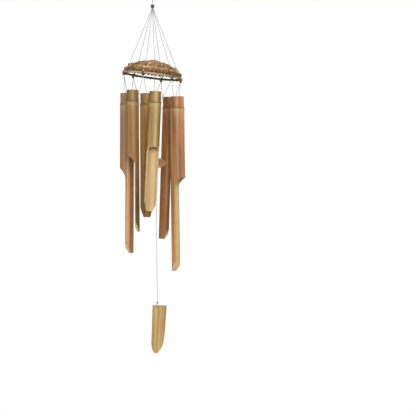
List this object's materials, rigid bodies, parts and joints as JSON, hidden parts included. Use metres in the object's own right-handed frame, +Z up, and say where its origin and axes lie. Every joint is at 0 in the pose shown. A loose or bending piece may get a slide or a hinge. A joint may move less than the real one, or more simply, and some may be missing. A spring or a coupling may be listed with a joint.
{
  "type": "wind chime",
  "caption": "Hanging bamboo wind chime: scooped tubes on nylon lines under a woven rattan cap, with a wooden clapper and a bamboo wind catcher.",
  "frame": {"origin": "centre of the steel hanging ring", "axes": "+Z up, -Y the chime's front, +X to the right seen from the front"},
  "size_m": [0.1324, 0.1304, 0.7429],
  "materials": {
    "steel": "bright welded wire ring",
    "nylon": "clear grey twisted nylon line",
    "knots": "tight knots of line, darker where wet and dusty",
    "rattan": "split rattan, dry and slightly glossy",
    "hoop_cane": "dark round cane",
    "clapper_wood": "reddish turned wood, satin",
    "catcher_bamboo": "light bamboo, scraped and satin",
    "bamboo_1": "natural bamboo skin, satin, with a pale cut wall",
    "bamboo_2": "natural bamboo skin, satin, with a pale cut wall",
    "bamboo_3": "natural bamboo skin, satin, with a pale cut wall",
    "bamboo_4": "natural bamboo skin, satin, with a pale cut wall",
    "bamboo_5": "natural bamboo skin, satin, with a pale cut wall",
    "bamboo_6": "natural bamboo skin, satin, with a pale cut wall"
  },
  "bodies": {
    "ring": {"hanger_ring": "steel"},
    "loop": {"hanger_loop": "nylon"},
    "gather": {"gather_knot": "knots"},
    "canopy": {"suspension_line_1": "nylon", "suspension_line_2": "nylon", "suspension_line_3": "nylon", "suspension_line_4": "nylon", "suspension_line_5": "nylon", "suspension_line_6": "nylon", "centre_line": "nylon", "rim_hoop": "hoop_cane", "cap_spokes": "rattan", "cap_weave": "rattan", "crown_ring": "rattan", "dome_knots": "knots", "rim_knots": "knots"},
    "tube_1_lines": {"tube_1_line_left": "nylon", "tube_1_line_right": "nylon", "tube_1_stopper_knots": "knots"},
    "tube_1": {"tube_1": "bamboo_1"},
    "tube_2_lines": {"tube_2_line_left": "nylon", "tube_2_line_right": "nylon", "tube_2_stopper_knots": "knots"},
    "tube_2": {"tube_2": "bamboo_2"},
    "tube_3_lines": {"tube_3_line_left": "nylon", "tube_3_line_right": "nylon", "tube_3_stopper_knots": "knots"},
    "tube_3": {"tube_3": "bamboo_3"},
    "tube_4_lines": {"tube_4_line_left": "nylon", "tube_4_line_right": "nylon", "tube_4_stopper_knots": "knots"},
    "tube_4": {"tube_4": "bamboo_4"},
    "tube_5_lines": {"tube_5_line_left": "nylon", "tube_5_line_right": "nylon", "tube_5_stopper_knots": "knots"},
    "tube_5": {"tube_5": "bamboo_5"},
    "tube_6_lines": {"tube_6_line_left": "nylon", "tube_6_line_right": "nylon", "tube_6_stopper_knots": "knots"},
    "tube_6": {"tube_6": "bamboo_6"},
    "crown_knot": {"crown_knot": "knots"},
    "clapper_line": {"clapper_line": "nylon", "clapper_knot": "knots"},
    "clapper": {"clapper_disc": "clapper_wood"},
    "sail_line": {"sail_line": "nylon"},
    "sail_loop": {"sail_knot": "knots", "sail_loop": "nylon"},
    "sail": {"sail": "catcher_bamboo"}
  },
  "joints": [
    {"name": "ring_swing", "type": "hinge", "parent": "ring", "child": "loop", "pos_m": [0, 0, -0.0135], "axis": [1, 0, 0], "range_deg": [-25, 25]},
    {"name": "chime_turn", "type": "hinge", "parent": "loop", "child": "gather", "pos_m": [0, 0, -0.034], "axis": [0, 0, 1], "range_deg": [-180, 180]},
    {"name": "chime_sway", "type": "hinge", "parent": "gather", "child": "canopy", "pos_m": [0, 0, -0.034], "axis": [0, 1, 0], "range_deg": [-25, 25]},
    {"name": "tube_1_swing", "type": "hinge", "parent": "canopy", "child": "tube_1_lines", "pos_m": [0.04776, -0.01396, -0.1831], "axis": [-0.2736, -0.9613, 0.0336], "range_deg": [-1, 12]},
    {"name": "tube_1_rock", "type": "hinge", "parent": "tube_1_lines", "child": "tube_1", "pos_m": [0.04776, -0.01396, -0.2291], "axis": [-0.2756, -0.9613, -0.0035], "range_deg": [-1.5, 6]},
    {"name": "tube_2_swing", "type": "hinge", "parent": "canopy", "child": "tube_2_lines", "pos_m": [0.01159, -0.04916, -0.17866], "axis": [-0.9631, -0.2419, 0.1182], "range_deg": [-1, 12]},
    {"name": "tube_2_rock", "type": "hinge", "parent": "tube_2_lines", "child": "tube_2", "pos_m": [0.00655, -0.05042, -0.22166], "axis": [-0.9694, -0.2417, 0.0436], "range_deg": [-1.5, 6]},
    {"name": "tube_3_swing", "type": "hinge", "parent": "canopy", "child": "tube_3_lines", "pos_m": [-0.03674, -0.03519, -0.17272], "axis": [-0.6895, 0.7193, 0.0847], "range_deg": [-1, 12]},
    {"name": "tube_3_rock", "type": "hinge", "parent": "tube_3_lines", "child": "tube_3", "pos_m": [-0.03674, -0.03519, -0.21772], "axis": [-0.6946, 0.7193, -0.0052], "range_deg": [-1.5, 6]},
    {"name": "tube_4_swing", "type": "hinge", "parent": "canopy", "child": "tube_4_lines", "pos_m": [-0.04891, 0.01396, -0.17123], "axis": [0.2736, 0.9613, -0.0336], "range_deg": [-1, 12]},
    {"name": "tube_4_rock", "type": "hinge", "parent": "tube_4_lines", "child": "tube_4", "pos_m": [-0.04891, 0.01396, -0.22023], "axis": [0.2756, 0.9613, -0.0017], "range_deg": [-1.5, 6]},
    {"name": "tube_5_swing", "type": "hinge", "parent": "canopy", "child": "tube_5_lines", "pos_m": [-0.01274, 0.04916, -0.17567], "axis": [0.9631, 0.2419, -0.1182], "range_deg": [-1, 12]},
    {"name": "tube_5_rock", "type": "hinge", "parent": "tube_5_lines", "child": "tube_5", "pos_m": [-0.01429, 0.04877, -0.21767], "axis": [0.9703, 0.2419, 0], "range_deg": [-1.5, 6]},
    {"name": "tube_6_swing", "type": "hinge", "parent": "canopy", "child": "tube_6_lines", "pos_m": [0.0356, 0.03519, -0.18161], "axis": [0.6895, -0.7193, -0.0847], "range_deg": [-1, 12]},
    {"name": "tube_6_rock", "type": "hinge", "parent": "tube_6_lines", "child": "tube_6", "pos_m": [0.03039, 0.04059, -0.22561], "axis": [0.6939, -0.7186, -0.0462], "range_deg": [-1.5, 6]},
    {"name": "clapper_swing_back", "type": "hinge", "parent": "canopy", "child": "crown_knot", "pos_m": [0.00374, 0, -0.14203], "axis": [0.8572, -0.515, 0], "range_deg": [-3, 2]},
    {"name": "clapper_swing_side", "type": "hinge", "parent": "crown_knot", "child": "clapper_line", "pos_m": [0.00374, 0, -0.14203], "axis": [-0.515, -0.8572, 0], "range_deg": [-3, 2]},
    {"name": "clapper_tilt", "type": "hinge", "parent": "clapper_line", "child": "clapper", "pos_m": [0.00624, 0, -0.3468], "axis": [1, 0, 0], "range_deg": [-54, 3]},
    {"name": "catcher_swing", "type": "hinge", "parent": "clapper_line", "child": "sail_line", "pos_m": [0.00631, 0, -0.3525], "axis": [0.2419, -0.9703, 0], "range_deg": [-10, 8]},
    {"name": "catcher_turn", "type": "hinge", "parent": "sail_line", "child": "sail_loop", "pos_m": [0.00965, 0, -0.6255], "axis": [0.0122, 0, -0.9999], "continuous": true},
    {"name": "catcher_rock", "type": "hinge", "parent": "sail_loop", "child": "sail", "pos_m": [0.00965, 0, -0.636], "axis": [0.9397, -0.342, 0], "range_deg": [-8, 8]}
  ]
}
